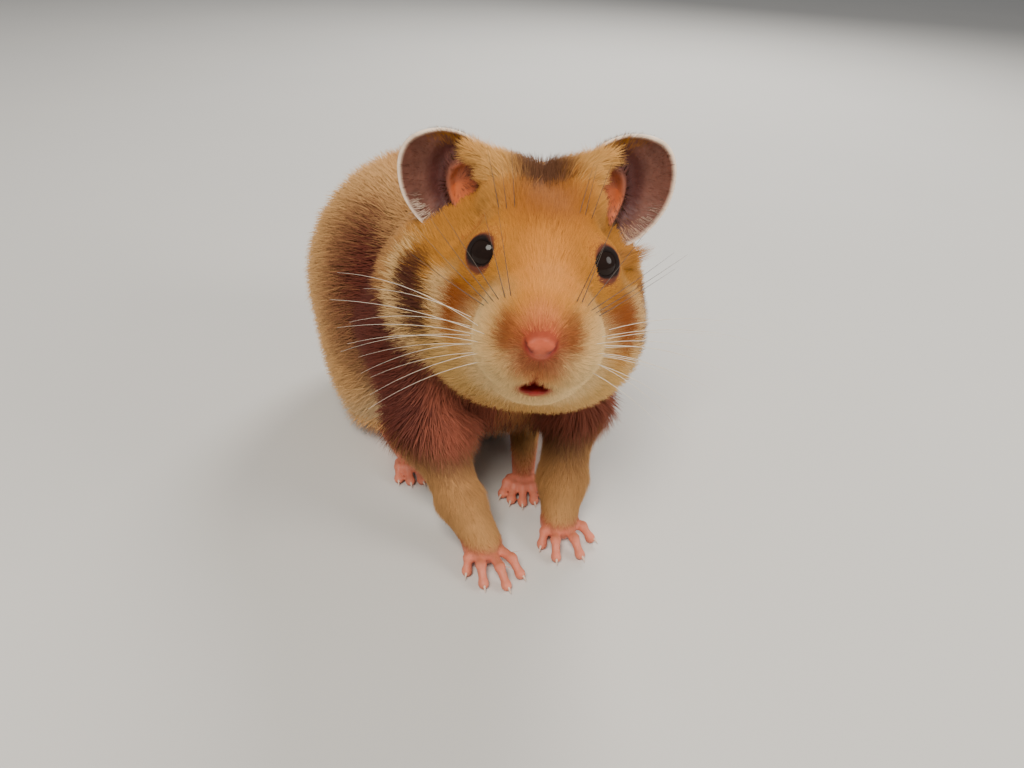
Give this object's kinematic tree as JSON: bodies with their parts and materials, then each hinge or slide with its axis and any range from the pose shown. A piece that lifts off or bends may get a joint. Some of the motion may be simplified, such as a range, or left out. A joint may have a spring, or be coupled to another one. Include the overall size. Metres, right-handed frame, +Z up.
{
  "type": "syrian hamster",
  "caption": "Adult golden Syrian hamster standing alert on straight forelegs with its rump down, a life-size still model with round ears, dark eyes and a short tail.",
  "frame": {"origin": "centre of the bounding box, on the floor that the animal stands on", "axes": "+Y towards the rump, so the animal faces -Y; +X towards its left side; +Z up"},
  "size_m": [0.0614, 0.111, 0.0725],
  "materials": {
    "coat_head": "short dense fur, golden above and cream below",
    "coat_shoulder": "dense fur, dark red-brown shoulder band",
    "coat_back": "dense long fur, tan with grey ticking",
    "coat_foreleg": "short pale fur",
    "nose_skin": "bare pink skin",
    "ear_skin": "thin nearly bare grey-brown skin with a pale rim",
    "foot_skin": "pink skin with sparse pale hair",
    "tail_skin": "pink skin with sparse pale hair",
    "eye": "glossy black"
  },
  "bodies": {
    "root": {"head": "coat_head", "nose": "nose_skin", "neck": "coat_shoulder", "trunk": "coat_back", "tail": "tail_skin", "haunch_left": "coat_back", "haunch_right": "coat_back", "hindfoot_left": "foot_skin", "hindfoot_right": "foot_skin", "foreleg_left": "coat_foreleg", "foreleg_right": "coat_foreleg", "forepaw_left": "foot_skin", "forepaw_right": "foot_skin", "ear_left": "ear_skin", "ear_right": "ear_skin", "eye_left": "eye", "eye_right": "eye"}
  },
  "joints": []
}
